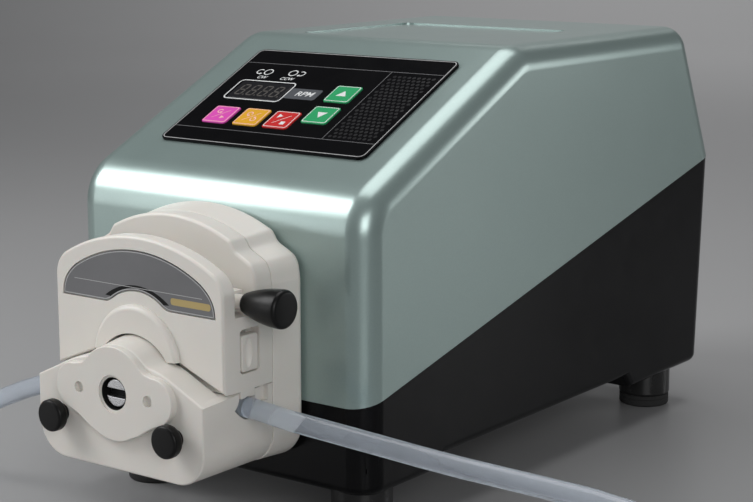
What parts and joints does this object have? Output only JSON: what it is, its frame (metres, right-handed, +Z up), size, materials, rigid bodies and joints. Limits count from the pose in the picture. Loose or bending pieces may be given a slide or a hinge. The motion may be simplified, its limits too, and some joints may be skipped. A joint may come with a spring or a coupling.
{
  "type": "peristaltic pump",
  "caption": "Bench peristaltic pump with a sloping keypad panel, a clamp-open roller head on the front and loose silicone tubing",
  "frame": {"origin": "centre of the pump on the surface it stands on, loose tubing left out", "axes": "+Z up, -Y towards the front where the pump head is, +X to the viewer's right facing the head"},
  "size_m": [0.4912, 0.4333, 0.1906],
  "materials": {
    "upper_shell": "satin pearlescent green paint on plastic",
    "lower_base": "gloss black",
    "foot_front_left": "gloss black",
    "foot_pad_front_left": "matt rubber",
    "foot_front_right": "gloss black",
    "foot_pad_front_right": "matt rubber",
    "foot_rear_left": "gloss black",
    "foot_pad_rear_left": "matt rubber",
    "foot_rear_right": "gloss black",
    "foot_pad_rear_right": "matt rubber",
    "panel_overlay": "smooth film",
    "display_window": "smoked, gloss",
    "key_magenta": "soft film key",
    "key_amber": "soft film key",
    "key_red": "soft film key",
    "key_down": "soft film key",
    "key_up": "soft film key",
    "display_board": "printed circuit board",
    "power_inlet": "moulded",
    "switch_frame": "moulded",
    "power_rocker": "moulded",
    "control_socket": "plated",
    "chassis_plate": "sheet steel",
    "motor_bracket": "sheet steel",
    "motor_body": "black painted",
    "power_supply": "folded sheet",
    "drive_board": "printed circuit board",
    "rear_housing": "satin",
    "lower_block": "satin",
    "upper_block": "satin",
    "label_plate": "printed film",
    "front_bearing": "ground",
    "rear_bearing": "ground",
    "guide_rod_left": "ground",
    "retainer_left": "moulded",
    "thumb_knob_left": "moulded",
    "thumb_stud_left": "turned",
    "guide_rod_right": "ground",
    "retainer_right": "moulded",
    "thumb_knob_right": "moulded",
    "thumb_stud_right": "turned",
    "head_screw_1": "plated",
    "head_screw_2": "plated",
    "head_screw_3": "plated",
    "head_screw_4": "plated",
    "lever_arm": "moulded",
    "lever_knob": "gloss",
    "rotor_carrier": "turned",
    "rotor_shaft": "turned",
    "motor_coupling": "turned",
    "roller_1": "moulded",
    "roller_2": "moulded",
    "roller_3": "moulded",
    "tube_in_head": "translucent silicone",
    "tube_left": "translucent silicone",
    "tube_right": "translucent silicone"
  },
  "bodies": {
    "drive": {"upper_shell": "upper_shell", "lower_base": "lower_base", "foot_front_left": "foot_front_left", "foot_pad_front_left": "foot_pad_front_left", "foot_front_right": "foot_front_right", "foot_pad_front_right": "foot_pad_front_right", "foot_rear_left": "foot_rear_left", "foot_pad_rear_left": "foot_pad_rear_left", "foot_rear_right": "foot_rear_right", "foot_pad_rear_right": "foot_pad_rear_right", "panel_overlay": "panel_overlay", "display_window": "display_window", "display_board": "display_board", "power_inlet": "power_inlet", "switch_frame": "switch_frame", "control_socket": "control_socket", "chassis_plate": "chassis_plate", "motor_bracket": "motor_bracket", "motor_body": "motor_body", "power_supply": "power_supply", "drive_board": "drive_board", "rear_housing": "rear_housing", "lower_block": "lower_block", "front_bearing": "front_bearing", "rear_bearing": "rear_bearing", "guide_rod_left": "guide_rod_left", "guide_rod_right": "guide_rod_right", "head_screw_1": "head_screw_1", "head_screw_2": "head_screw_2", "head_screw_3": "head_screw_3", "head_screw_4": "head_screw_4", "tube_in_head": "tube_in_head", "tube_left": "tube_left", "tube_right": "tube_right"},
    "upper_block": {"upper_block": "upper_block", "label_plate": "label_plate"},
    "lever": {"lever_arm": "lever_arm", "lever_knob": "lever_knob"},
    "retainer_left": {"retainer_left": "retainer_left"},
    "retainer_right": {"retainer_right": "retainer_right"},
    "rotor": {"rotor_carrier": "rotor_carrier", "rotor_shaft": "rotor_shaft", "motor_coupling": "motor_coupling"},
    "roller_1": {"roller_1": "roller_1"},
    "roller_2": {"roller_2": "roller_2"},
    "roller_3": {"roller_3": "roller_3"},
    "thumb_screw_left": {"thumb_knob_left": "thumb_knob_left", "thumb_stud_left": "thumb_stud_left"},
    "thumb_screw_right": {"thumb_knob_right": "thumb_knob_right", "thumb_stud_right": "thumb_stud_right"},
    "power_rocker": {"power_rocker": "power_rocker"},
    "key_magenta": {"key_magenta": "key_magenta"},
    "key_amber": {"key_amber": "key_amber"},
    "key_red": {"key_red": "key_red"},
    "key_down": {"key_down": "key_down"},
    "key_up": {"key_up": "key_up"}
  },
  "joints": [
    {"name": "press_magenta", "type": "slide", "parent": "drive", "child": "key_magenta", "axis": [0, 0.4357, -0.9001], "range_m": [0, 0.0008], "stiffness_N_per_m": 400, "springref_m": -0.0003},
    {"name": "press_amber", "type": "slide", "parent": "drive", "child": "key_amber", "axis": [0, 0.4357, -0.9001], "range_m": [0, 0.0008], "stiffness_N_per_m": 400, "springref_m": -0.0003},
    {"name": "press_red", "type": "slide", "parent": "drive", "child": "key_red", "axis": [0, 0.4357, -0.9001], "range_m": [0, 0.0008], "stiffness_N_per_m": 400, "springref_m": -0.0003},
    {"name": "press_down", "type": "slide", "parent": "drive", "child": "key_down", "axis": [0, 0.4357, -0.9001], "range_m": [0, 0.0008], "stiffness_N_per_m": 400, "springref_m": -0.0003},
    {"name": "press_up", "type": "slide", "parent": "drive", "child": "key_up", "axis": [0, 0.4357, -0.9001], "range_m": [0, 0.0008], "stiffness_N_per_m": 400, "springref_m": -0.0003},
    {"name": "rocker_tilt", "type": "hinge", "parent": "drive", "child": "power_rocker", "pos_m": [0.002, 0.16923, 0.066], "axis": [1, 0, 0], "range_deg": [-22, 0]},
    {"name": "lever_swing", "type": "hinge", "parent": "upper_block", "child": "lever", "pos_m": [0, -0.145, 0.1016], "axis": [0, 1, 0], "range_deg": [-180, 0]},
    {"name": "block_lift", "type": "slide", "parent": "drive", "child": "upper_block", "axis": [0, 0, 1], "range_m": [0, 0.0131]},
    {"name": "retainer_left_slide", "type": "slide", "parent": "upper_block", "child": "retainer_left", "axis": [0, 0, 1], "range_m": [0, 0.0024]},
    {"name": "retainer_right_slide", "type": "slide", "parent": "upper_block", "child": "retainer_right", "axis": [0, 0, 1], "range_m": [0, 0.0024]},
    {"name": "rotor_spin", "type": "hinge", "parent": "drive", "child": "rotor", "pos_m": [0, -0.1435, 0.0648], "axis": [0, 1, 0], "continuous": true},
    {"name": "roller_1_spin", "type": "hinge", "parent": "rotor", "child": "roller_1", "pos_m": [0, -0.1435, 0.0821], "axis": [0, 1, 0], "continuous": true},
    {"name": "roller_2_spin", "type": "hinge", "parent": "rotor", "child": "roller_2", "pos_m": [-0.01498, -0.1435, 0.05615], "axis": [0, 1, 0], "continuous": true},
    {"name": "roller_3_spin", "type": "hinge", "parent": "rotor", "child": "roller_3", "pos_m": [0.01498, -0.1435, 0.05615], "axis": [0, 1, 0], "continuous": true},
    {"name": "thumb_left_turn", "type": "hinge", "parent": "drive", "child": "thumb_screw_left", "pos_m": [-0.0304, -0.1735, 0.052], "axis": [0, 1, 0], "continuous": true},
    {"name": "thumb_right_turn", "type": "hinge", "parent": "drive", "child": "thumb_screw_right", "pos_m": [0.0304, -0.1735, 0.052], "axis": [0, 1, 0], "continuous": true}
  ],
  "couplings": [
    {"joint": "block_lift", "follows": "lever_swing", "m_per_rad": -0.004138},
    {"joint": "roller_1_spin", "follows": "rotor_spin", "ratio": -3.1625},
    {"joint": "roller_2_spin", "follows": "rotor_spin", "ratio": -3.1625},
    {"joint": "roller_3_spin", "follows": "rotor_spin", "ratio": -3.1625}
  ]
}
